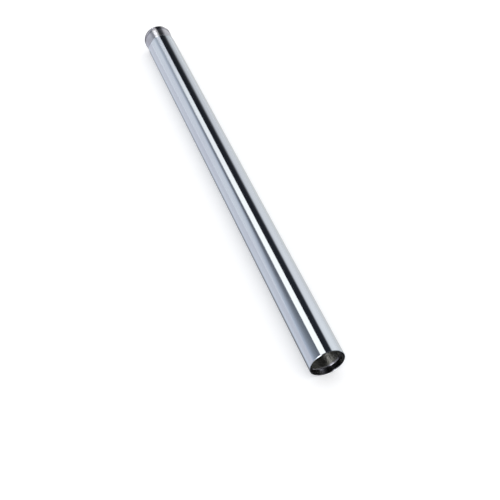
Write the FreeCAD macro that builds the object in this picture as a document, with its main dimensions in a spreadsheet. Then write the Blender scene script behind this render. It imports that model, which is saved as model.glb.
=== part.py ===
import FreeCAD, Part
import os
import Sketcher

# Motorcycle fork tube, the chromed inner tube of a telescopic front fork, in millimetres.
# It is one piece of steel, turned and ground, so it is one body. It lies on its side:
# X runs along the tube, with the open mouth for the cap at +X and the machined bush
# seat at -X. The origin is below the middle of the tube, on the surface it lies on.

NODE = "fork_tube"

doc = FreeCAD.newDocument("fork_tube_model")


# Driving dimensions
sheet = doc.addObject("Spreadsheet::Sheet", "sizes")

DIMENSIONS = [
    # The drawn tube
    ("tube_length", 637.0),
    ("tube_diameter", 41.0),
    ("tube_wall", 3.5),
    # Bush seat near the -X end: the lip that keeps the bush on, then the ground seat
    ("lip_width", 7.6),
    ("lip_recess", 0.15),
    ("lip_bevel_length", 0.8),
    ("lip_bevel_drop", 0.25),
    ("seat_width", 18.8),
    ("seat_recess", 0.7),
    ("seat_corner_radius", 0.15),
    ("chrome_edge_length", 1.1),
    ("chrome_edge_drop", 0.3),
    # Nose of the -X end: a taper that leads the tube through the seals
    ("nose_length", 3.2),
    ("nose_drop", 1.0),
    ("nose_radius", 0.7),
    # Lead-in of the bore at the -X end
    ("lead_in_length", 1.2),
    ("lead_in_drop", 0.5),
    # Mouth at the +X end: plain bore for the cap's seal, then the bore of the cap thread
    ("seal_bore_depth", 7.0),
    ("seal_bore_wall", 1.2),
    ("mouth_bevel", 0.3),
    ("rim_bevel", 0.5),
    ("thread_length", 14.0),
    ("thread_bore_wall", 2.3),
    ("thread_entry_length", 1.1),
    # Undercut where the thread runs out, and the slope from it down to the main bore
    ("undercut_width", 2.6),
    ("undercut_wall", 1.35),
    ("undercut_slope", 1.6),
]

for row, (alias, value) in enumerate(DIMENSIONS, start=1):
    sheet.set("A%d" % row, alias)
    sheet.set("B%d" % row, str(value))
    sheet.setAlias("B%d" % row, alias)

doc.recompute()


def origin_plane(body, role):
    """Return the body's own origin feature with this role."""
    for feature in body.Origin.OriginFeatures:
        if feature.Role == role:
            return feature
    raise RuntimeError("no origin feature with role " + role)


def add_profile(body, name, corners):
    """Draw a closed profile in the body's XZ plane and bind every corner.

    corners is a list of (along, radius) pairs. Each is a text expression of the sheet:
    the distance along the tube's axis from the middle, positive towards the mouth, and
    the distance from the axis. Each corner gets two dimensions, so that the sketch is
    fully constrained.
    """
    sketch = body.newObject("Sketcher::SketchObject", name)
    sketch.AttachmentSupport = [(origin_plane(body, "XZ_Plane"), "")]
    sketch.MapMode = "FlatFace"

    start = [(evaluate(along), evaluate(radius)) for along, radius in corners]
    count = len(start)
    for index in range(count):
        here = FreeCAD.Vector(start[index][0], start[index][1], 0)
        following = start[(index + 1) % count]
        there = FreeCAD.Vector(following[0], following[1], 0)
        sketch.addGeometry(Part.LineSegment(here, there), False)
    for index in range(count):
        joined = (index + 1) % count
        sketch.addConstraint(Sketcher.Constraint("Coincident", index, 2, joined, 1))
    for index, (along, radius) in enumerate(corners):
        bind(sketch, index, "DistanceX", start[index][0], "along_%d" % index, along)
        bind(sketch, index, "DistanceY", start[index][1], "radius_%d" % index, radius)
    return sketch


def bind(sketch, line, kind, value, label, expression):
    """Dimension the start of a line from the sketch's origin and bind it to the sheet."""
    number = sketch.addConstraint(Sketcher.Constraint(kind, -1, 1, line, 1, value))
    sketch.renameConstraint(number, label)
    sketch.setExpression("Constraints." + label, expression)


def evaluate(expression):
    """Return the present value of a sheet expression as a number."""
    result = sheet.evalExpression(expression)
    return float(getattr(result, "Value", result))


def turn(body, kind, name, sketch):
    """Turn a profile once round the tube's axis, as stock or as a cut."""
    feature = body.newObject(kind, name)
    feature.Profile = sketch
    feature.ReferenceAxis = (sketch, ["H_Axis"])
    feature.Angle = 360.0
    sketch.Visibility = False
    return feature


def cut(body, name, corners):
    """Turn a groove with this profile and make sure that it takes metal away."""
    doc.recompute()
    before = body.Shape.Volume
    sketch = add_profile(body, name + "_profile", corners)
    feature = turn(body, "PartDesign::Groove", name, sketch)
    doc.recompute()
    if not body.Shape.Volume < before - 0.01:
        raise RuntimeError(name + " cuts nothing")
    return feature


def edges_at(shape, along, radius):
    """Name the circular edges of a shape at this place along the axis and this radius."""
    names = []
    for number, edge in enumerate(shape.Edges, start=1):
        curve = edge.Curve
        if not isinstance(curve, Part.Circle):
            continue
        same_place = abs(curve.Center.x - along) < 0.001
        if same_place and abs(curve.Radius - radius) < 0.001:
            names.append("Edge%d" % number)
    if not names:
        raise RuntimeError("no edge at %.3f with radius %.3f" % (along, radius))
    return names


def dress(body, kind, name, places, amount):
    """Bevel or round the circular edges at these places, each (along, radius)."""
    doc.recompute()
    tip = body.Tip
    names = []
    for along, radius in places:
        names += edges_at(tip.Shape, evaluate(along), evaluate(radius))
    feature = body.newObject(kind, name)
    feature.Base = (tip, names)
    setting = "Radius" if kind.endswith("Fillet") else "Size"
    feature.setExpression(setting, amount)
    return feature


# The tube's own faces, as expressions of the sheet
OUTER = "sizes.tube_diameter / 2"
BORE = OUTER + " - sizes.tube_wall"
MOUTH_END = "sizes.tube_length / 2"
SEAT_END = "-sizes.tube_length / 2"

# Beyond the outside and the end faces, so that each cut runs clear of the metal
OVERRUN = "2"
CLEAR = OUTER + " + " + OVERRUN
PAST_SEAT_END = SEAT_END + " - " + OVERRUN
PAST_MOUTH_END = MOUTH_END + " + " + OVERRUN

# Places along the axis at the seat end
LIP_SHOULDER = SEAT_END + " + sizes.lip_width"
LIP_BEVEL_BACK = LIP_SHOULDER + " - sizes.lip_bevel_length"
CHROME_EDGE = LIP_SHOULDER + " + sizes.seat_width"
CHROME_FULL = CHROME_EDGE + " + sizes.chrome_edge_length"
NOSE_BACK = SEAT_END + " + sizes.nose_length"
LEAD_IN_BACK = SEAT_END + " + sizes.lead_in_length"

# Radii at the seat end
LIP = OUTER + " - sizes.lip_recess"
LIP_BEVEL = LIP + " - sizes.lip_bevel_drop"
SEAT = OUTER + " - sizes.seat_recess"
CHROME_DROP = OUTER + " - sizes.chrome_edge_drop"
NOSE = LIP + " - sizes.nose_drop"

# Places along the axis at the mouth
SEAL_BORE_BACK = MOUTH_END + " - sizes.seal_bore_depth"
THREAD_FRONT = SEAL_BORE_BACK + " - sizes.thread_entry_length"
THREAD_BACK = THREAD_FRONT + " - sizes.thread_length"
UNDERCUT_BACK = THREAD_BACK + " - sizes.undercut_width"
SLOPE_BACK = UNDERCUT_BACK + " - sizes.undercut_slope"

# Radii at the mouth
SEAL_BORE = OUTER + " - sizes.seal_bore_wall"
THREAD_BORE = OUTER + " - sizes.thread_bore_wall"
UNDERCUT = OUTER + " - sizes.undercut_wall"

# The axis itself, for cuts that take out everything inside a radius
AXIS = "0"


def tube_stock(body):
    """Turn the drawn tube: the outside, the two end faces and the honed bore."""
    sketch = add_profile(body, "tube_stock_profile", [
        (SEAT_END, BORE),
        (MOUTH_END, BORE),
        (MOUTH_END, OUTER),
        (SEAT_END, OUTER),
    ])
    return turn(body, "PartDesign::Revolution", "tube_stock", sketch)


def lip_land(body):
    """Turn the land of the lip a little under the chrome, as far as the chrome edge."""
    return cut(body, "lip_land", [
        (PAST_SEAT_END, LIP),
        (CHROME_EDGE, LIP),
        (CHROME_EDGE, CLEAR),
        (PAST_SEAT_END, CLEAR),
    ])


def bush_seat(body):
    """Grind the seat of the slide bush, and ease the edges on both sides of it.

    The chrome runs down to the seat over a shallow taper, and the lip has a bevel of its
    own, so that the bush rides up on both without being cut.
    """
    return cut(body, "bush_seat", [
        (LIP_SHOULDER, SEAT),
        (CHROME_EDGE, SEAT),
        (CHROME_EDGE, CHROME_DROP),
        (CHROME_FULL, OUTER),
        (CHROME_FULL, CLEAR),
        (LIP_BEVEL_BACK, CLEAR),
        (LIP_BEVEL_BACK, LIP),
        (LIP_SHOULDER, LIP_BEVEL),
    ])


def nose_taper(body):
    """Turn the tapered nose in front of the lip."""
    return cut(body, "nose_taper", [
        (SEAT_END, NOSE),
        (NOSE_BACK, LIP),
        (NOSE_BACK, CLEAR),
        (PAST_SEAT_END, CLEAR),
        (PAST_SEAT_END, NOSE),
    ])


def bore_lead_in(body):
    """Open the bore with a long bevel at the seat end."""
    return cut(body, "bore_lead_in", [
        (PAST_SEAT_END, AXIS),
        (PAST_SEAT_END, BORE + " + sizes.lead_in_drop"),
        (SEAT_END, BORE + " + sizes.lead_in_drop"),
        (LEAD_IN_BACK, BORE),
        (LEAD_IN_BACK, AXIS),
    ])


def mouth_bores(body):
    """Bore the mouth: seal bore, entry cone, thread bore, undercut and slope."""
    return cut(body, "mouth_bores", [
        (PAST_MOUTH_END, AXIS),
        (PAST_MOUTH_END, SEAL_BORE),
        (SEAL_BORE_BACK, SEAL_BORE),
        (THREAD_FRONT, THREAD_BORE),
        (THREAD_BACK, THREAD_BORE),
        (THREAD_BACK, UNDERCUT),
        (UNDERCUT_BACK, UNDERCUT),
        (SLOPE_BACK, BORE),
        (SLOPE_BACK, AXIS),
    ])


def corners(body):
    """Bevel and round the edges that a hand or a seal would meet."""
    dress(body, "PartDesign::Fillet", "nose_corner", [(SEAT_END, NOSE)],
          "sizes.nose_radius")
    dress(body, "PartDesign::Fillet", "seat_corners",
          [(LIP_SHOULDER, SEAT), (CHROME_EDGE, SEAT)], "sizes.seat_corner_radius")
    dress(body, "PartDesign::Chamfer", "mouth_edge", [(MOUTH_END, SEAL_BORE)],
          "sizes.mouth_bevel")
    dress(body, "PartDesign::Chamfer", "rim_edge", [(MOUTH_END, OUTER)],
          "sizes.rim_bevel")


def check_document():
    """Stop if any object failed to build or the tube isn't one valid solid."""
    for item in doc.Objects:
        if "Invalid" in item.State or "Error" in item.State:
            raise RuntimeError(item.Label + " failed to build")
    shape = tube.Shape
    if shape.isNull() or not shape.isValid():
        raise RuntimeError(tube.Label + " has no valid shape")
    if len(shape.Solids) != 1:
        raise RuntimeError(tube.Label + " should be one solid")


tube = doc.addObject("PartDesign::Body", NODE)
tube.Label = NODE

tube_stock(tube)
lip_land(tube)
bush_seat(tube)
nose_taper(tube)
bore_lead_in(tube)
mouth_bores(tube)
corners(tube)

# The tube lies on the surface, so its axis is one outside radius above the origin
tube.setExpression("Placement.Base.z", OUTER)

doc.recompute()
check_document()

os.makedirs("parts", exist_ok=True)
tube.Shape.exportStep("parts/" + NODE + ".step")
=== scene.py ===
"""The looks of a motorcycle fork tube: finishes, cap thread, studio and camera.

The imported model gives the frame: the tube lies along X with its mouth at +X and its bush
seat at -X, and the origin is below its middle, on the floor. The tube's own sizes are typed
in millimetres and the studio's in metres, and everything that is built is in metres.
"""

import logging
import math
from collections.abc import Iterator
from dataclasses import dataclass, field
from enum import IntEnum

import bpy
from mathutils import Matrix, Vector


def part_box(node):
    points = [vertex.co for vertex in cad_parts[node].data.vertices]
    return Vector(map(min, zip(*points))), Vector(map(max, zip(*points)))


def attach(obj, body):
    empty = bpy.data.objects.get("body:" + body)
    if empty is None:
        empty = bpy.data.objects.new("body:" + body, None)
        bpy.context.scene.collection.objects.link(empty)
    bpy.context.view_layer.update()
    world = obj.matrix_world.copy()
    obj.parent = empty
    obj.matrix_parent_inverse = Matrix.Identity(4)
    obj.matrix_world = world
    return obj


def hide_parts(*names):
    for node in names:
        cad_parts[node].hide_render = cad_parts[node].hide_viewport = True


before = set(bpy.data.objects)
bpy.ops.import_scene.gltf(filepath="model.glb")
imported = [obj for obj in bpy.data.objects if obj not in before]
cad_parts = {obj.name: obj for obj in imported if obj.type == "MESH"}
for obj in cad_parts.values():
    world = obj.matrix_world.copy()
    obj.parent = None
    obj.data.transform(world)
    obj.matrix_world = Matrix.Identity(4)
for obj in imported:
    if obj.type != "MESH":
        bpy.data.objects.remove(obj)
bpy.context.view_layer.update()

LOG = logging.getLogger("fork_tube")

MM = 0.001
NODE = "fork_tube"
BODY = "root"
WHITE = "#FFFFFF"

Point = tuple[float, float, float]
Numbers = tuple[float, ...]
Tree = bpy.types.NodeTree
Socket = bpy.types.NodeSocket
Outputs = bpy.types.NodeOutputs


def linear(code: str) -> tuple[float, float, float, float]:
    """Turn an sRGB hex colour into the linear colour that shaders take.

    Args:
        code: The colour as "#rrggbb".

    Returns:
        Red, green, blue and an alpha of 1, all linear.
    """
    channels = [int(code[start:start + 2], 16) / 255 for start in (1, 3, 5)]
    straight = [
        value / 12.92 if value <= 0.04045 else ((value + 0.055) / 1.055) ** 2.4
        for value in channels
    ]
    return (straight[0], straight[1], straight[2], 1.0)


def add_node(
    tree: Tree,
    kind: str,
    settings: dict[str, object] | None = None,
    inputs: dict[str | int, object] | None = None,
) -> bpy.types.Node:
    """Add a node to a tree, with its settings, values and links.

    Args:
        tree: The node tree that gets the node.
        kind: The node's type name.
        settings: Properties of the node itself, by name.
        inputs: What goes into its sockets, by name or number: an output socket is linked,
            and anything else is set as the socket's own value.

    Returns:
        The new node.
    """
    node = tree.nodes.new(kind)
    for name, value in (settings or {}).items():
        setattr(node, name, value)
    for key, value in (inputs or {}).items():
        if isinstance(value, Socket):
            tree.links.new(value, node.inputs[key])
        else:
            node.inputs[key].default_value = value
    return node


def whole(tree: Tree, operation: str, first: object, second: object) -> Socket:
    """Add a sum on whole numbers, each a socket or a value."""
    kind = "FunctionNodeIntegerMath"
    return add_node(tree, kind, {"operation": operation}, {0: first, 1: second}).outputs[0]


def decimal(tree: Tree, operation: str, first: object, second: object = 0.0) -> Socket:
    """Add a sum on one or two decimal numbers, each a socket or a value."""
    kind = "ShaderNodeMath"
    return add_node(tree, kind, {"operation": operation}, {0: first, 1: second}).outputs[0]


def equal(tree: Tree, first: object, second: object) -> Socket:
    """Add a test whether two whole numbers are the same."""
    settings = {"data_type": "INT", "operation": "EQUAL"}
    return add_node(tree, "FunctionNodeCompare", settings, {"A": first, "B": second}).outputs[0]


def emptied(block: bpy.types.Material | bpy.types.World) -> Tree:
    """Give a material or a world a node tree with nothing in it yet."""
    block.use_nodes = True
    block.node_tree.nodes.clear()
    return block.node_tree


def placed(name: str, data: bpy.types.ID) -> bpy.types.Object:
    """Make an object of a mesh or a camera, and put it in the scene."""
    thing = bpy.data.objects.new(name, data)
    bpy.context.scene.collection.objects.link(thing)
    return thing


class Finish(IntEnum):
    """How a stretch of the tube's surface was made, in the order of its material slots."""

    CHROME = 0
    GROUND = 1
    TURNED = 2
    BORED = 3
    THREAD = 4
    HONED = 5


@dataclass(frozen=True)
class Corner:
    """A point of the tube's half section, and the surface that runs on from it.

    Attributes:
        along: Distance from the middle of the tube towards the mouth, in mm.
        radius: Distance from the tube's axis, in mm.
        finish: The finish of the surface from here to the next corner.
        crisp: Whether the surface has a crease here, and not a smooth join.
        threaded: Whether the thread's groove is cut here.
    """

    along: float
    radius: float
    finish: Finish
    crisp: bool = True
    threaded: bool = False


def rounded(
    centre: tuple[float, float],
    radius: float,
    start: float,
    end: float,
    finish: Finish,
    step: float = 7.5,
) -> Iterator[Corner]:
    """Walk along an arc of the half section.

    Args:
        centre: The arc's centre, as distance along the tube and radius, in mm.
        radius: The arc's radius, in mm.
        start: Where it starts, in degrees from the mouth's direction, outwards.
        end: Where it ends, in the same degrees.
        finish: The finish of the arc and of what follows it.
        step: The largest turn between two corners, in degrees.

    Yields:
        Corners with smooth joins, from the start to the end of the arc.
    """
    count = max(2, math.ceil(abs(end - start) / step))
    for index in range(count + 1):
        angle = math.radians(start + (end - start) * index / count)
        along = centre[0] + radius * math.cos(angle)
        yield Corner(along, centre[1] + radius * math.sin(angle), finish, crisp=False)


@dataclass
class BushSeatEnd:
    """The machined end at -X: chrome edge, ground seat, lip, nose and lead-in."""

    outer_radius: float
    bore_radius: float
    end: float
    lip_width: float = 7.6
    lip_recess: float = 0.15
    lip_bevel_length: float = 0.8
    lip_bevel_drop: float = 0.25
    seat_width: float = 18.8
    seat_recess: float = 0.7
    chrome_edge_length: float = 1.1
    chrome_edge_drop: float = 0.3
    nose_length: float = 3.2
    nose_drop: float = 1.0
    nose_radius: float = 0.7
    lead_in_length: float = 1.2
    lead_in_drop: float = 0.5

    def outline(self) -> Iterator[Corner]:
        """Walk the section from the chrome edge over the end face into the bore.

        Yields:
            Corners of the half section, in order.
        """
        lip = self.outer_radius - self.lip_recess
        seat = self.outer_radius - self.seat_recess
        shoulder = self.end + self.lip_width
        edge = shoulder + self.seat_width
        yield Corner(edge + self.chrome_edge_length, self.outer_radius, Finish.CHROME)
        yield Corner(edge, self.outer_radius - self.chrome_edge_drop, Finish.TURNED)
        yield Corner(edge, seat, Finish.GROUND)
        yield Corner(shoulder, seat, Finish.TURNED)
        yield Corner(shoulder, lip - self.lip_bevel_drop, Finish.TURNED)
        yield Corner(shoulder - self.lip_bevel_length, lip, Finish.TURNED)
        yield from self.nose(lip)
        yield Corner(self.end, self.bore_radius + self.lead_in_drop, Finish.HONED)
        yield Corner(self.end + self.lead_in_length, self.bore_radius, Finish.HONED)

    def nose(self, lip: float) -> Iterator[Corner]:
        """Walk the taper in front of the lip and its rounded corner.

        Args:
            lip: The radius of the lip's land, in mm.

        Yields:
            Corners from the front of the land to the end face.
        """
        slope = math.atan2(self.nose_drop, self.nose_length)
        yield Corner(self.end + self.nose_length, lip, Finish.TURNED)
        foot = lip - self.nose_drop
        reach = self.nose_radius * math.tan((math.pi / 2 - slope) / 2)
        centre = (self.end + self.nose_radius, foot - reach)
        tangent = 90 + math.degrees(slope)
        yield from rounded(centre, self.nose_radius, tangent, 180, Finish.TURNED)


@dataclass
class CapThread:
    """The right-hand thread for the fork cap, cut outwards from its bore."""

    pitch: float = 1.5
    depth: float = 0.81
    root_flat: float = 1 / 8
    crest_flat: float = 1 / 4
    rows_per_pitch: int = 12

    def rows(self, start: Corner, end: Corner) -> Iterator[Corner]:
        """Divide a stretch of the section finely enough to carry the groove.

        Args:
            start: Where the stretch starts.
            end: Where it ends, which isn't given out.

        Yields:
            Corners from the start on, each carrying the groove.
        """
        rise = end.radius - start.radius
        run = end.along - start.along
        count = math.ceil(abs(run) / self.pitch * self.rows_per_pitch)
        for index in range(count):
            share = index / count
            yield Corner(
                start.along + run * share,
                start.radius + rise * share,
                start.finish,
                crisp=False,
                threaded=True,
            )


@dataclass
class Mouth:
    """The open end at +X: undercut, cap thread, seal bore and rim."""

    outer_radius: float
    bore_radius: float
    end: float
    thread: CapThread = field(default_factory=CapThread)
    seal_bore_depth: float = 7.0
    seal_bore_wall: float = 1.2
    mouth_bevel: float = 0.3
    rim_bevel: float = 0.5
    thread_length: float = 14.0
    thread_bore_wall: float = 2.3
    thread_entry_length: float = 1.1
    undercut_width: float = 2.6
    undercut_wall: float = 1.35
    undercut_slope: float = 1.6

    @property
    def thread_radius(self) -> float:
        """The radius of the thread's bore, in mm."""
        return self.outer_radius - self.thread_bore_wall

    def outline(self) -> Iterator[Corner]:
        """Walk the section from the main bore out of the mouth and round the rim.

        Yields:
            Corners of the half section, in order.
        """
        seal = self.outer_radius - self.seal_bore_wall
        undercut = self.outer_radius - self.undercut_wall
        seal_back = self.end - self.seal_bore_depth
        thread_front = seal_back - self.thread_entry_length
        thread_back = thread_front - self.thread_length
        undercut_back = thread_back - self.undercut_width
        slope_back = undercut_back - self.undercut_slope
        first = Corner(thread_back, self.thread_radius, Finish.THREAD)
        last = Corner(thread_front, self.thread_radius, Finish.TURNED)
        ledge = Corner(seal_back, seal, Finish.BORED)
        yield Corner(slope_back, self.bore_radius, Finish.TURNED)
        yield Corner(undercut_back, undercut, Finish.TURNED)
        yield Corner(thread_back, undercut, Finish.TURNED)
        yield from self.thread.rows(first, last)
        yield from self.thread.rows(last, ledge)
        yield ledge
        yield Corner(self.end - self.mouth_bevel, seal, Finish.TURNED)
        yield Corner(self.end, seal + self.mouth_bevel, Finish.TURNED)
        yield Corner(self.end, self.outer_radius - self.rim_bevel, Finish.CHROME)
        yield Corner(self.end - self.rim_bevel, self.outer_radius, Finish.CHROME)


@dataclass
class Lathe:
    """A tree of geometry nodes that turns a half section round the tube's axis.

    Attributes:
        axis_height: Height of the axis over the floor, in metres.
        segments: Faces round the tube.
        seam: Distance within which the turned surface's edges are joined, in mm.
    """

    axis_height: float
    segments: int = 256
    seam: float = 0.0005

    def tree(self, finishes: list[bpy.types.Material]) -> Tree:
        """Build the tree.

        Args:
            finishes: The material of each Finish, in its order.

        Returns:
            A geometry node tree with named inputs for every size.
        """
        tree = bpy.data.node_groups.new("Turned Tube", "GeometryNodeTree")
        sockets = tree.interface
        sockets.new_socket("Section", in_out="INPUT", socket_type="NodeSocketGeometry")
        sockets.new_socket("Segments", in_out="INPUT", socket_type="NodeSocketInt")
        for name in ("Axis Height", "Thread Radius", "Pitch", "Depth", "Root", "Crest"):
            sockets.new_socket(name, in_out="INPUT", socket_type="NodeSocketFloat")
        sockets.new_socket("Tube", in_out="OUTPUT", socket_type="NodeSocketGeometry")
        given = add_node(tree, "NodeGroupInput").outputs

        index = add_node(tree, "GeometryNodeInputIndex").outputs[0]
        size = add_node(tree, "GeometryNodeAttributeDomainSize", None, {0: given["Section"]})
        corners = size.outputs["Point Count"]
        columns = whole(tree, "ADD", given["Segments"], 1)
        grid = add_node(tree, "GeometryNodeMeshGrid", None, {
            "Size X": 1.0,
            "Size Y": 1.0,
            "Vertices X": whole(tree, "ADD", corners, 1),
            "Vertices Y": columns,
        })
        row = whole(tree, "DIVIDE_FLOOR", index, columns)
        place = self.turned_place(tree, given, corners, row, index, columns)
        turned = add_node(tree, "GeometryNodeSetPosition", None, {
            "Geometry": grid.outputs["Mesh"],
            "Position": place,
        })
        smooth = add_node(tree, "GeometryNodeSetShadeSmooth", {"domain": "FACE"}, {
            "Geometry": turned.outputs[0],
            "Shade Smooth": True,
        })
        creased = add_node(tree, "GeometryNodeSetShadeSmooth", {"domain": "EDGE"}, {
            "Geometry": smooth.outputs[0],
            "Selection": self.creases(tree, given, corners, columns),
            "Shade Smooth": False,
        })
        face_row = whole(tree, "DIVIDE_FLOOR", index, given["Segments"])
        zone = self.of_row(tree, given, corners, face_row, "finish", "INT")
        kept = add_node(tree, "GeometryNodeStoreNamedAttribute",
                        {"data_type": "INT", "domain": "FACE"},
                        {"Geometry": creased.outputs[0], "Name": "finish", "Value": zone})
        closed = add_node(tree, "GeometryNodeMergeByDistance", None, {
            "Geometry": kept.outputs[0],
            "Distance": self.seam * MM,
        })
        real = add_node(tree, "GeometryNodeRealizeInstances", None, {0: closed.outputs[0]})
        dressed = real.outputs[0]
        zone = add_node(tree, "GeometryNodeInputNamedAttribute", {"data_type": "INT"},
                        {"Name": "finish"}).outputs["Attribute"]
        for number, material in enumerate(finishes):
            dressed = add_node(tree, "GeometryNodeSetMaterial", None, {
                "Geometry": dressed,
                "Selection": equal(tree, zone, number),
                "Material": material,
            }).outputs[0]
        add_node(tree, "NodeGroupOutput", None, {"Tube": dressed})
        return tree

    def of_row(
        self,
        tree: Tree,
        given: Outputs,
        corners: Socket,
        row: Socket,
        name: str,
        kind: str,
    ) -> Socket:
        """Read a value of the section's corner that a row of the grid stands for.

        Args:
            tree: The tree that gets the nodes.
            given: The tree's own inputs.
            corners: How many corners the section has.
            row: The row's number. The last row closes the section on the first corner.
            name: The corner's attribute, or an empty name for its position.
            kind: The attribute's data type.

        Returns:
            The socket with the value.
        """
        if name:
            value = add_node(tree, "GeometryNodeInputNamedAttribute", {"data_type": kind},
                             {"Name": name}).outputs["Attribute"]
        else:
            value = add_node(tree, "GeometryNodeInputPosition").outputs[0]
        found = add_node(tree, "GeometryNodeSampleIndex",
                         {"data_type": kind, "domain": "POINT"}, {
                             "Geometry": given["Section"],
                             "Value": value,
                             "Index": whole(tree, "MODULO", row, corners),
                         })
        return found.outputs[0]

    def turned_place(
        self,
        tree: Tree,
        given: Outputs,
        corners: Socket,
        row: Socket,
        index: Socket,
        columns: Socket,
    ) -> Socket:
        """Work out where each vertex of the grid goes on the turned tube.

        Args:
            tree: The tree that gets the nodes.
            given: The tree's own inputs.
            corners: How many corners the section has.
            row: The vertex's row, which is a corner of the section.
            index: The vertex's number.
            columns: How many vertices a row has.

        Returns:
            The socket with the position.
        """
        corner = self.of_row(tree, given, corners, row, "", "FLOAT_VECTOR")
        threaded = self.of_row(tree, given, corners, row, "threaded", "FLOAT")
        parts = add_node(tree, "ShaderNodeSeparateXYZ", None, {0: corner}).outputs
        column = whole(tree, "MODULO", index, columns)
        turns = decimal(tree, "DIVIDE", column, given["Segments"])

        # The groove of a right-hand thread: as far along as the turn says, and its depth
        # runs from a flat root over straight flanks to a flat crest at the bore
        advance = decimal(tree, "DIVIDE", parts["X"], given["Pitch"])
        phase = decimal(tree, "FRACT", decimal(tree, "SUBTRACT", advance, turns))
        off_root = decimal(tree, "ABSOLUTE", decimal(tree, "SUBTRACT", phase, 0.5))
        share = decimal(tree, "MULTIPLY", off_root, 2.0)
        groove = add_node(tree, "ShaderNodeMapRange", None, {
            "Value": share,
            "From Min": given["Root"],
            "From Max": decimal(tree, "SUBTRACT", 1.0, given["Crest"]),
            "To Min": given["Depth"],
            "To Max": 0.0,
        }).outputs[0]
        bottom = decimal(tree, "ADD", given["Thread Radius"], groove)
        cut = decimal(tree, "MULTIPLY", bottom, threaded)
        radius = decimal(tree, "MAXIMUM", parts["Z"], cut)

        angle = decimal(tree, "MULTIPLY", turns, math.tau)
        across = decimal(tree, "MULTIPLY", radius, decimal(tree, "COSINE", angle))
        up = decimal(tree, "MULTIPLY", radius, decimal(tree, "SINE", angle))
        place = add_node(tree, "ShaderNodeCombineXYZ", None, {
            "X": parts["X"],
            "Y": across,
            "Z": decimal(tree, "ADD", up, given["Axis Height"]),
        })
        return place.outputs[0]

    def creases(self, tree: Tree, given: Outputs, corners: Socket, columns: Socket) -> Socket:
        """Pick the edges that run round the tube at a crisp corner.

        Args:
            tree: The tree that gets the nodes.
            given: The tree's own inputs.
            corners: How many corners the section has.
            columns: How many vertices a row has.

        Returns:
            The socket that is true on those edges.
        """
        ends = add_node(tree, "GeometryNodeInputMeshEdgeVertices").outputs
        first = whole(tree, "DIVIDE_FLOOR", ends["Vertex Index 1"], columns)
        second = whole(tree, "DIVIDE_FLOOR", ends["Vertex Index 2"], columns)
        crisp = self.of_row(tree, given, corners, first, "crisp", "BOOLEAN")
        both = add_node(tree, "FunctionNodeBooleanMath", {"operation": "AND"},
                        {0: equal(tree, first, second), 1: crisp})
        return both.outputs[0]

    def turn(
        self,
        name: str,
        section: list[Corner],
        thread: CapThread,
        thread_radius: float,
        finishes: list[bpy.types.Material],
    ) -> bpy.types.Object:
        """Turn a half section into one closed mesh.

        Args:
            name: The new object's name.
            section: The corners of the half section, in order.
            thread: The thread that is cut where a corner says so.
            thread_radius: The radius of the thread's bore, in mm.
            finishes: The material of each Finish, in its order.

        Returns:
            The turned object, a plain mesh with no modifier.
        """
        mesh = bpy.data.meshes.new(name)
        points = [(corner.along * MM, 0.0, corner.radius * MM) for corner in section]
        mesh.from_pydata(points, [], [])
        values = {
            "finish": ("INT", [int(corner.finish) for corner in section]),
            "crisp": ("BOOLEAN", [corner.crisp for corner in section]),
            "threaded": ("FLOAT", [float(corner.threaded) for corner in section]),
        }
        for label, (kind, numbers) in values.items():
            mesh.attributes.new(label, kind, "POINT").data.foreach_set("value", numbers)
        piece = placed(name, mesh)

        modifier = piece.modifiers.new("Lathe", "NODES")
        modifier.node_group = self.tree(finishes)
        inputs = {
            "Segments": self.segments,
            "Axis Height": self.axis_height,
            "Thread Radius": thread_radius * MM,
            "Pitch": thread.pitch * MM,
            "Depth": thread.depth * MM,
            "Root": thread.root_flat,
            "Crest": thread.crest_flat,
        }
        for socket in modifier.node_group.interface.items_tree:
            if socket.name in inputs:
                modifier[socket.identifier] = inputs[socket.name]

        graph = bpy.context.evaluated_depsgraph_get()
        turned = bpy.data.meshes.new_from_object(piece.evaluated_get(graph))
        piece.modifiers.clear()
        piece.data = turned
        turned.name = name
        bpy.data.meshes.remove(mesh)
        return piece


@dataclass(frozen=True)
class TubeSpace:
    """Coordinates on the tube that its patterns are drawn in.

    Attributes:
        axis_height: Height of the tube's axis over the floor, in metres.
    """

    axis_height: float

    def centred(self, tree: Tree) -> Socket:
        """Add the object's own coordinates, moved so that the axis runs through zero."""
        here = add_node(tree, "ShaderNodeTexCoord").outputs["Object"]
        moved = add_node(tree, "ShaderNodeVectorMath", {"operation": "SUBTRACT"},
                         {0: here, 1: (0.0, 0.0, self.axis_height)})
        return moved.outputs[0]

    def stretched(self, tree: Tree, along: float, across: float) -> Socket:
        """Scale the coordinates so that one unit is one grain of a pattern.

        Args:
            tree: The material's node tree.
            along: Length of a grain along the tube, in mm.
            across: Width of a grain across it, in mm.

        Returns:
            The socket with the scaled coordinates.
        """
        scale = (1 / (along * MM), 1 / (across * MM), 1 / (across * MM))
        scaled = add_node(tree, "ShaderNodeVectorMath", {"operation": "MULTIPLY"},
                          {0: self.centred(tree), 1: scale})
        return scaled.outputs[0]

    def round_marks(self, tree: Tree, spacing: float, wander: float = 400.0) -> Socket:
        """Draw the fine marks that a wheel or a tool leaves round the tube.

        Args:
            tree: The material's node tree.
            spacing: Distance from mark to mark along the tube, in mm.
            wander: How far round the tube a mark keeps its depth, in mm.

        Returns:
            The socket with the marks' height, from 0 to 1.
        """
        noise = add_node(tree, "ShaderNodeTexNoise", {"noise_dimensions": "3D"}, {
            "Vector": self.stretched(tree, spacing, wander),
            "Scale": 1.0,
            "Detail": 3.0,
            "Roughness": 0.6,
        })
        return noise.outputs[0]


# How far a finish's marks take its roughness up and down, as a share of it
WEAR = 0.15

# Nearly all of the noise that mixes a finish's two tones lies between these values
TONE_SPAN = (0.3, 0.7)

# Turns the blur of a reflection from round the tube to along it
QUARTER_TURN = 0.25


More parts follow.
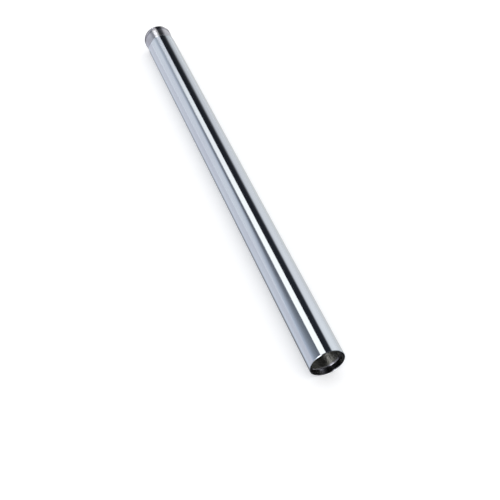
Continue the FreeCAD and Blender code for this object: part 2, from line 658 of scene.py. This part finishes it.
@dataclass(frozen=True)
class Metal:
    """A metal finish: what it reflects, how sharply, and the marks of its making.

    Attributes:
        name: The material's name, after what it is and how it was made.
        light: Its lighter tone, as sRGB hex.
        dark: Its darker tone, as sRGB hex.
        roughness: How far it blurs what it reflects.
        spread: How much further it blurs along the tube than round it.
        tone_length: Length of a patch of one tone along the tube, in mm.
        tone_width: Width of a patch of one tone, in mm.
        mark_spacing: Distance between the marks of its making, in mm.
        mark_depth: Height of those marks as the bump sees them, in mm.
    """

    name: str
    light: str
    dark: str
    roughness: float
    spread: float
    tone_length: float
    tone_width: float
    mark_spacing: float
    mark_depth: float

    def material(self, space: TubeSpace) -> bpy.types.Material:
        """Build the material.

        Args:
            space: The tube's coordinates.

        Returns:
            A material with a node tree of its own.
        """
        material = bpy.data.materials.new(self.name)
        tree = emptied(material)
        tone = self.tone(tree, space)
        marks = space.round_marks(tree, self.mark_spacing)
        bump = add_node(tree, "ShaderNodeBump", None, {
            "Strength": 1.0,
            "Distance": self.mark_depth * MM,
            "Height": marks,
        })
        worn = add_node(tree, "ShaderNodeMapRange", None, {
            "Value": marks,
            "To Min": self.roughness * (1 - WEAR),
            "To Max": self.roughness * (1 + WEAR),
        })
        round_axis = add_node(tree, "ShaderNodeTangent",
                              {"direction_type": "RADIAL", "axis": "X"})
        shader = add_node(tree, "ShaderNodeBsdfPrincipled", None, {
            "Base Color": tone,
            "Metallic": 1.0,
            "Roughness": worn.outputs[0],
            "Anisotropic": self.spread,
            "Anisotropic Rotation": QUARTER_TURN,
            "Tangent": round_axis.outputs[0],
            "Normal": bump.outputs[0],
        })
        add_node(tree, "ShaderNodeOutputMaterial", None, {"Surface": shader.outputs[0]})
        return material

    def tone(self, tree: Tree, space: TubeSpace) -> Socket:
        """Mix the two tones in soft patches.

        Args:
            tree: The material's node tree.
            space: The tube's coordinates.

        Returns:
            The socket with the colour.
        """
        patches = add_node(tree, "ShaderNodeTexNoise", {"noise_dimensions": "3D"}, {
            "Vector": space.stretched(tree, self.tone_length, self.tone_width),
            "Scale": 1.0,
            "Detail": 2.0,
            "Roughness": 0.5,
        })
        even = add_node(tree, "ShaderNodeMapRange", None, {
            "Value": patches.outputs[0],
            "From Min": TONE_SPAN[0],
            "From Max": TONE_SPAN[1],
        })
        mixed = add_node(tree, "ShaderNodeMix", {"data_type": "RGBA"}, {
            "Factor": even.outputs[0],
            "A": linear(self.dark),
            "B": linear(self.light),
        })
        return mixed.outputs["Result"]


# Hard chrome, ground and polished: a cool, even mirror, blurred a little along the tube by
# the wheel's marks, which run round it. They are drawn coarser than real, so that they show.
HARD_CHROME = Metal("ground_hard_chrome", "#C8D0DA", "#C2C8D4", 0.13, 0.8, 160, 14, 1.2, 0.0004)

# Bare steel, ground to size for the bush: greyer, softer, with marks that can be seen.
GROUND_SEAT = Metal("ground_bare_steel", "#C8C9D2", "#BBBCC6", 0.34, 0.97, 8, 60, 0.5, 0.002)

# Bare steel, turned: the faces, bevels and the nose, with the tool's fine rings.
TURNED_STEEL = Metal("turned_bare_steel", "#ABABB2", "#9696A0", 0.16, 0.6, 6, 40, 0.4, 0.002)

# The bore for the cap's seal: finely bored steel under a film of oil, smooth. Its dark tone is
# partly the oil and partly painted shade of the tube's inside.
BORED_STEEL = Metal("bored_oiled_shaded_steel", "#8C8C8E", "#7C7D7F", 0.16, 0.5, 10, 20, 0.6, 0.002)

# The cut thread: duller steel with oil on it. Its darker tone is partly the oil and partly
# painted shade of the tube's inside.
THREAD_STEEL = Metal("cut_oiled_shaded_steel", "#A2A29E", "#8C8C88", 0.22, 0.2, 10, 20, 0.6, 0.001)

# The honed bore: steel crossed by the stone's marks, with oil left in them. Its dark tones are
# partly the oil and partly painted shade of the tube's inside.
HONED_STEEL = Metal("honed_oiled_shaded_steel", "#777672", "#5B5A57", 0.32, 0.6, 10, 12, 0.9, 0.004)

FINISHES = {
    Finish.CHROME: HARD_CHROME,
    Finish.GROUND: GROUND_SEAT,
    Finish.TURNED: TURNED_STEEL,
    Finish.BORED: BORED_STEEL,
    Finish.THREAD: THREAD_STEEL,
    Finish.HONED: HONED_STEEL,
}


@dataclass
class ForkTube:
    """The whole tube, from the frame's box and the sizes of its two ends.

    Attributes:
        low: The lowest corner of the solid's box, in metres.
        high: The highest corner of the solid's box, in metres.
        wall: Thickness of the tube's wall, in mm.
    """

    low: Vector
    high: Vector
    wall: float = 3.5

    def __post_init__(self) -> None:
        """Work out the ends from the box."""
        outer = (self.high.z - self.low.z) / 2 / MM
        bore = outer - self.wall
        self.seat_end = BushSeatEnd(outer, bore, self.low.x / MM)
        self.mouth = Mouth(outer, bore, self.high.x / MM)

    @property
    def axis_height(self) -> float:
        """Height of the tube's axis over the floor, in metres."""
        return (self.high.z + self.low.z) / 2

    def build(self) -> bpy.types.Object:
        """Turn the tube, dress it and put it in the CAD node's place.

        Returns:
            The finished piece.
        """
        space = TubeSpace(self.axis_height)
        finishes = [FINISHES[finish].material(space) for finish in Finish]
        section = [*self.seat_end.outline(), *self.mouth.outline()]
        lathe = Lathe(self.axis_height)
        piece = lathe.turn("fork_tube_finished", section, self.mouth.thread,
                           self.mouth.thread_radius, finishes)
        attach(piece, BODY)
        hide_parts(NODE)
        faces = len(piece.data.polygons)
        LOG.info("%s: %d corners in section, %d faces", piece.name, len(section), faces)
        return piece


@dataclass
class PhotoCamera:
    """The camera at the photograph's viewing angle, placed from the tube's mouth.

    Attributes:
        azimuth: Where it stands, in degrees: 0 looks along +Y and 90 along -X.
        elevation: How far it looks down, in degrees.
        lens: Focal length for a sensor 36 mm wide.
        right: How far the mouth's centre lies right of the view's middle, in mm.
        above: How far it lies above the view's middle, in mm.
        ahead: How far it lies in front of the camera, in mm.
    """

    azimuth: float = 69.58
    elevation: float = 47.78
    lens: float = 60.97
    right: float = 81.18
    above: float = -118.66
    ahead: float = 886.8

    def build(self, mouth: Vector) -> bpy.types.Object:
        """Make the camera and make it the scene's.

        Args:
            mouth: The centre of the mouth's rim, in metres.

        Returns:
            The camera.
        """
        turn = math.radians(self.azimuth)
        tilt = math.radians(self.elevation)
        back = Vector((
            math.sin(turn) * math.cos(tilt),
            -math.cos(turn) * math.cos(tilt),
            math.sin(tilt),
        ))
        side = Vector((math.cos(turn), math.sin(turn), 0.0))
        up = back.cross(side)
        data = bpy.data.cameras.new("photo_camera")
        data.lens = self.lens
        camera = placed("photo_camera", data)
        offset = side * self.right + up * self.above - back * self.ahead
        camera.location = mouth - offset * MM
        axes = Matrix((side, up, back)).transposed()
        camera.rotation_euler = axes.to_euler()
        bpy.context.scene.camera = camera
        return camera


@dataclass(frozen=True)
class Arc:
    """How an overhead card lies and shines, across, at one place along the tube.

    Attributes:
        start: Angle of its first edge round the tube's axis, in degrees from +Y upwards.
        end: Angle of its second edge, the same way.
        levels: Strength of its light at equal steps from the first edge to the second.
        colour: Colour of its light, as sRGB hex.
    """

    start: float
    end: float
    levels: Numbers
    colour: str = WHITE


@dataclass
class Card:
    """A board or soft box that only reflections see, as a grid of points.

    Attributes:
        name: The card's name.
        rows: Its points, row by row from near to far, each row going across.
        near: Strength of its light at equal steps across its first row.
        far: The same for its last row, or None where it is as at the first.
        colour: Colour of its light at its first row, as sRGB hex.
        far_colour: The same for its last row, or None where it is as at the first.
        shares: How far each row is from near to far, from 0 to 1, or None for equal steps.
        back: Strength of its light from behind, or None where it is as in front.
    """

    name: str
    rows: list[list[Point]]
    near: Numbers
    far: Numbers | None = None
    colour: str = WHITE
    far_colour: str | None = None
    shares: list[float] | None = None
    back: float | None = None

    def __post_init__(self) -> None:
        """Fill in the last row's light and the steps between the rows."""
        self.far = self.far or self.near
        self.far_colour = self.far_colour or self.colour
        last = len(self.rows) - 1
        self.shares = self.shares or [number / last for number in range(last + 1)]

    def build(self) -> bpy.types.Object:
        """Make the card.

        Returns:
            The card, which the camera, diffuse light and shadows don't see.
        """
        across = len(self.rows[0])
        points = [point for row in self.rows for point in row]
        faces = [
            (first, first + 1, first + across + 1, first + across)
            for row in range(len(self.rows) - 1)
            for first in range(row * across, row * across + across - 1)
        ]
        mesh = bpy.data.meshes.new(self.name)
        mesh.from_pydata(points, [], faces)
        places = {
            "along": [self.shares[number // across] for number in range(len(points))],
            "across": [number % across / (across - 1) for number in range(len(points))],
        }
        for label, values in places.items():
            mesh.attributes.new(label, "FLOAT", "POINT").data.foreach_set("value", values)
        mesh.materials.append(self.material())
        card = placed(self.name, mesh)
        card.visible_camera = False
        card.visible_diffuse = False
        card.visible_shadow = False
        return card

    def material(self) -> bpy.types.Material:
        """Build a light that changes across the card, and from its first row to its last.

        Returns:
            The card's material.
        """
        material = bpy.data.materials.new(self.name)
        tree = emptied(material)
        peak = max(*self.near, *self.far)
        mixed = add_node(tree, "ShaderNodeMix", {"data_type": "RGBA"}, {
            "Factor": self.share(tree, "along"),
            "A": self.ramp(tree, self.near, peak, self.colour),
            "B": self.ramp(tree, self.far, peak, self.far_colour),
        })
        if self.back is not None:
            behind = self.back / peak
            mixed = add_node(tree, "ShaderNodeMix", {"data_type": "RGBA"}, {
                "Factor": add_node(tree, "ShaderNodeNewGeometry").outputs["Backfacing"],
                "A": mixed.outputs["Result"],
                "B": (behind, behind, behind, 1.0),
            })
        light = add_node(tree, "ShaderNodeEmission", None, {
            "Color": mixed.outputs["Result"],
            "Strength": peak,
        })
        add_node(tree, "ShaderNodeOutputMaterial", None, {"Surface": light.outputs[0]})
        return material

    def share(self, tree: Tree, name: str) -> Socket:
        """Return the card's own share, from 0 to 1, "along" or "across" it."""
        return add_node(tree, "ShaderNodeAttribute", {"attribute_name": name}).outputs["Fac"]

    def ramp(self, tree: Tree, levels: Numbers, peak: float, colour: str) -> Socket:
        """Add a ramp through the levels of one row, as shares of the peak.

        Args:
            tree: The material's node tree.
            levels: Strength of the light at equal steps across.
            peak: The strength that a share of 1 stands for.
            colour: Colour of the light, as sRGB hex.

        Returns:
            The socket with the colour, times the share of the peak.
        """
        ramp = add_node(tree, "ShaderNodeValToRGB", None, {"Fac": self.share(tree, "across")})
        steps = ramp.color_ramp.elements
        given = len(steps)
        for number, level in enumerate(levels):
            step = steps[number] if number < given else steps.new(1.0)
            step.position = number / (len(levels) - 1)
            step.color = tuple(part * level / peak for part in linear(colour)[:3]) + (1.0,)
        return ramp.outputs["Color"]


def level_rows(xs: Numbers, ys: Numbers, height: float) -> list[list[Point]]:
    """Lay out a level card: a row at each x, with a point at each y."""
    return [[(x, y, height) for y in ys] for x in xs]


@dataclass
class Studio:
    """A white sweep under plain soft light, with the cards that the chrome mirrors.

    The overhead cards lie on a half pipe round the tube's axis. The tube mirrors them as
    bands along it, with what is near at its mouth and what is far at its bush seat. All
    lengths are in metres.

    Attributes:
        axis_height: Height of the tube's axis over the floor.
        mouth_x: Where the tube's mouth is.
        seat_x: Where the tube's other end is.
        floor_size: Length of each side of the floor.
        floor_colour: Colour of the floor, as sRGB hex.
        floor_glow: Strength of the light that the floor adds where it is seen.
        world_colour: Colour of the light from all round, as sRGB hex.
        world_strength: Strength of that light.
        radius: Distance of the overhead cards from the tube's axis.
        near_x: Where the overhead cards begin to change from near to far.
        far_x: Where that change ends.
        wall_x: Where the overhead cards end, at a dark wall.
        overhang: How far they run on at the other end.
        board_join: Where the grey board's two lengths meet, as a share from near to far.
        columns: Points across a curved card.
        lift: Height of the floor cards over the floor.
        hood_radius: Radius of the hood before the mouth.
        hood_length: How far the hood reaches before the mouth.
    """

    axis_height: float
    mouth_x: float
    seat_x: float
    floor_size: float = 18.0
    floor_colour: str = "#F0F0F0"
    floor_glow: float = 0.3
    world_colour: str = "#FCFDFF"
    world_strength: float = 1.0
    radius: float = 1.0
    near_x: float = -0.3
    far_x: float = -1.6
    wall_x: float = -2.5
    overhang: float = 6.0
    board_join: float = 0.375
    columns: int = 24
    lift: float = 0.0005
    hood_radius: float = 0.13
    hood_length: float = 0.27

    def build(self) -> None:
        """Make the floor, the world and the cards."""
        self.floor()
        self.world()
        cards = [*self.overhead_cards(), self.seat_box(), *self.floor_cards()]
        for card in [*cards, self.mouth_hood()]:
            card.build()
            LOG.info("card %s", card.name)

    def overhead_cards(self) -> Iterator[Card]:
        """List the cards over the tube, from +Y over the top to -Y.

        Yields:
            A bright board, the soft edge of a black flag, the flag, a soft box, and a grey
            board in two lengths that begins where the box ends.
        """
        yield self.overhead(
            "side_board",
            Arc(46, 2, (1.05, 1.15, 1.18, 1.14, 1.02), "#FFFFFB"),
            Arc(24, 2, (0.80, 0.83, 0.85, 0.87, 0.87), "#FFFFFB"))
        yield self.overhead(
            "flag_edge",
            Arc(57, 46, (0.03, 0.15, 0.64, 1.10)),
            Arc(57, 24, (0.03, 0.06, 0.50, 0.84)))
        yield self.overhead(
            "black_flag",
            Arc(89, 57, (0.03, 0.03, 0.04), "#D8E8FF"),
            Arc(89, 57, (0.02, 0.02, 0.03), "#D8E8FF"))
        box_near = Arc(89.4, 122.3, (1.70, 1.72, 1.74, 1.74), "#FFFDF2")
        box_far = Arc(90.2, 116.8, (0.84, 0.93, 0.88, 0.64), "#FAFAFF")
        yield self.overhead("soft_box", box_near, box_far, fade=2.6)

        box_edge = box_near.end + (box_far.end - box_near.end) * self.board_join
        board_near = Arc(box_near.end, 186,
                         (0.24, 0.25, 0.28, 0.33, 0.38, 0.46, 0.60, 0.76, 0.88), "#EAF3FF")
        board_middle = Arc(box_edge, 147,
                           (0.45, 0.28, 0.14, 0.12, 0.26, 0.62, 0.86, 0.92, 0.94), "#F0F6FF")
        board_far = Arc(box_far.end, 140,
                        (0.58, 0.63, 0.68, 0.70, 0.73, 0.77, 0.83, 0.88, 0.92), "#F2F8FF")
        yield self.overhead("grey_board", board_near, board_middle,
                            span=(0.0, self.board_join))
        yield self.overhead("far_grey_board", board_middle, board_far,
                            span=(self.board_join, 1.0))

    def seat_box(self) -> Card:
        """Fan a strong box out at the cards' far end, where only blurred metal reaches it.

        Returns:
            The card, just before the wall and just inside the overhead cards.
        """
        x = self.wall_x + 0.02
        inner, outer = 0.1, self.radius * 0.99
        first, last = 90, 122
        rows = [self.bow(x, radius, first, last, self.columns) for radius in (inner, outer)]
        return Card("seat_box", rows, (7.0, 7.0))

    def bow(
        self,
        x: float,
        radius: float,
        first: float,
        last: float,
        columns: int,
    ) -> list[Point]:
        """Lay out one row of a card along a circle round the tube's axis.

        Args:
            x: Where the circle is along the tube.
            radius: Its radius.
            first: Angle of the row's first point, in degrees from +Y upwards.
            last: Angle of its last point, the same way.
            columns: How many points it has.

        Returns:
            The points, in order.
        """
        angles = [math.radians(first + (last - first) * column / (columns - 1))
                  for column in range(columns)]
        return [
            (x, radius * math.cos(angle), radius * math.sin(angle) + self.axis_height)
            for angle in angles
        ]

    def overhead(
        self,
        name: str,
        near: Arc,
        far: Arc,
        fade: float = 1.0,
        span: tuple[float, float] = (0.0, 1.0),
        steps: int = 12,
    ) -> Card:
        """Curve a card round the tube's axis.

        Args:
            name: The card's name.
            near: How it lies and shines at its near end.
            far: How it lies and shines at its far end.
            fade: Over 1, its light changes slower near the mouth.
            span: Its ends, as shares of the way from where the mouth mirrors it (0) to where
                the bush seat does (1). A card with an end at 0 or 1 runs on beyond it.
            steps: Rows of faces from near to far.

        Returns:
            The card.
        """
        places = []
        for step in range(steps + 1):
            along = span[0] + (span[1] - span[0]) * step / steps
            places.append((self.near_x + (self.far_x - self.near_x) * along, step / steps))
        if span[0] == 0.0:
            places.insert(0, (self.near_x + self.overhang, 0.0))
        if span[1] == 1.0:
            places.append((self.wall_x, 1.0))
        rows = []
        for x, share in places:
            first = near.start + (far.start - near.start) * share
            last = near.end + (far.end - near.end) * share
            rows.append(self.bow(x, self.radius, first, last, self.columns))
        shares = [share ** fade for _, share in places]
        return Card(name, rows, near.levels, far.levels, near.colour, far.colour, shares)

    def floor_cards(self) -> Iterator[Card]:
        """List the cards at floor level.

        Yields:
            A strip of painted shadow along the tube's foot, a board on its right with painted
            shade at its edge by the foot, one on its left, a patch of painted shade and a wall
            beyond its bush seat, and a flag before its mouth.
        """
        front, foot_back, back = 0.4, -0.5, -0.9
        far_left, foot_left, foot_right, board_left, far_right = -1.2, -0.05, 0.02, 0.03, 0.9
        # Painted shadow: a dark strip at the tube's foot, seen only in reflections
        foot = level_rows((front, foot_back), (foot_left, foot_right), self.lift)
        yield Card("painted_foot_shadow", foot, (0.98, 0.96, 0.10, 0.0, 0.0, 0.0),
                   (0.96, 0.94, 0.50, 0.26, 0.26, 0.26), "#F4F8FF")
        # Painted shade: the board is dimmer along its edge by the tube's foot
        right = level_rows((front, back), (board_left, far_right), self.lift)
        yield Card("ground_board", right, (0.80,) + (0.98,) * 8, (0.81,) + (0.84,) * 8,
                   "#FFFFFA")
        left = level_rows((front, back), (far_left, foot_left), self.lift)
        yield Card("left_ground_board", left, (0.885, 0.885), colour="#FBFAFF")

        # Painted shade: a dark patch of floor beyond the bush seat, seen only in reflections
        # Each row's distance beyond the end, and half its width
        fan = ((0.02, 0.032), (0.066, 0.066), (0.15, 0.11), (0.32, 0.20))
        beyond = [[(self.seat_x - away, y, self.lift * 2) for y in (-half, half)]
                  for away, half in fan]
        yield Card("painted_end_shade", beyond, (0.10, 0.10))
        wall_half, wall_foot, wall_top = 0.9, 0.02, 1.1
        wall = [[(self.wall_x, y, z) for y in (-wall_half, wall_half)]
                for z in (wall_foot, wall_top)]
        yield Card("end_wall", wall, (0.15, 0.15))

        under_rim = 0.003
        before = level_rows((self.mouth_x - under_rim, self.mouth_x + self.hood_length),
                            (-self.hood_radius, self.hood_radius), self.lift)
        yield Card("mouth_flag", before, (0.50, 0.20, 0.04, 0.06, 0.10, 0.10))

    def mouth_hood(self) -> Card:
        """Curve a small closed hood round the front of the mouth, dark with one bright slit.

        Returns:
            The card.
        """
        # Each row's distance before the mouth, and its radius: the last closes the front
        profile = ((0.002, 0.0235), (0.06, self.hood_radius),
                   (self.hood_length, self.hood_radius), (self.hood_length + 0.005, 0.001))
        first, last, columns = 188, -8, 41
        rows = [self.bow(self.mouth_x + before, radius, first, last, columns)
                for before, radius in profile]
        slit = (0.5, 0.7, 1.0, 1.7, 3.2, 4.9, 4.3, 0.9)
        top = (0.10,) * 7
        right = (0.15, 0.20, 0.26, 0.28, 0.28, 0.28)
        return Card("mouth_hood", rows, slit + top + right, (0.09, 0.09),
                    shares=[0.0, 0.0, 0.0, 1.0], back=0.9)

    def floor(self) -> bpy.types.Object:
        """Make the floor: white where it is lit, with the tube's own soft shadow.

        Returns:
            The floor.
        """
        mesh = bpy.data.meshes.new("floor")
        half = self.floor_size / 2
        corners = [(-half, -half, 0), (half, -half, 0), (half, half, 0), (-half, half, 0)]
        mesh.from_pydata(corners, [], [(0, 1, 2, 3)])
        material = bpy.data.materials.new("white_paper_sweep")
        tree = emptied(material)
        paper = add_node(tree, "ShaderNodeBsdfDiffuse", None,
                         {"Color": linear(self.floor_colour)})
        glow = add_node(tree, "ShaderNodeEmission", None, {
            "Color": linear(WHITE),
            "Strength": self.seen(tree, self.floor_glow),
        })
        both = add_node(tree, "ShaderNodeAddShader", None,
                        {0: paper.outputs[0], 1: glow.outputs[0]})
        add_node(tree, "ShaderNodeOutputMaterial", None, {"Surface": both.outputs[0]})
        mesh.materials.append(material)
        floor = placed("floor", mesh)
        return floor

    def seen(self, tree: Tree, strength: float) -> Socket:
        """Give a strength to what the camera sees, straight or in a reflection.

        Args:
            tree: The node tree that gets the nodes.
            strength: The strength for those rays. All other rays get none.

        Returns:
            The socket with the strength.
        """
        path = add_node(tree, "ShaderNodeLightPath").outputs
        total = path["Is Camera Ray"]
        for ray in ("Is Glossy Ray", "Is Transmission Ray"):
            total = decimal(tree, "MAXIMUM", total, path[ray])
        return decimal(tree, "MULTIPLY", total, strength)

    def world(self) -> None:
        """Make the world: an even, faintly cool white from all round."""
        world = bpy.data.worlds.new("studio")
        tree = emptied(world)
        light = add_node(tree, "ShaderNodeBackground", None, {
            "Color": linear(self.world_colour),
            "Strength": self.world_strength,
        })
        add_node(tree, "ShaderNodeOutputWorld", None, {"Surface": light.outputs[0]})
        bpy.context.scene.world = world


def main() -> None:
    """Build the camera, the tube and the studio, in that order."""
    logging.basicConfig(level=logging.INFO, format="%(name)s: %(message)s")
    low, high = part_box(NODE)
    tube = ForkTube(Vector(low), Vector(high))
    PhotoCamera().build(Vector((high[0], 0.0, tube.axis_height)))
    tube.build()
    Studio(tube.axis_height, high[0], low[0]).build()
    bpy.context.scene.view_settings.view_transform = "Standard"


if __name__ == "__main__":
    main()
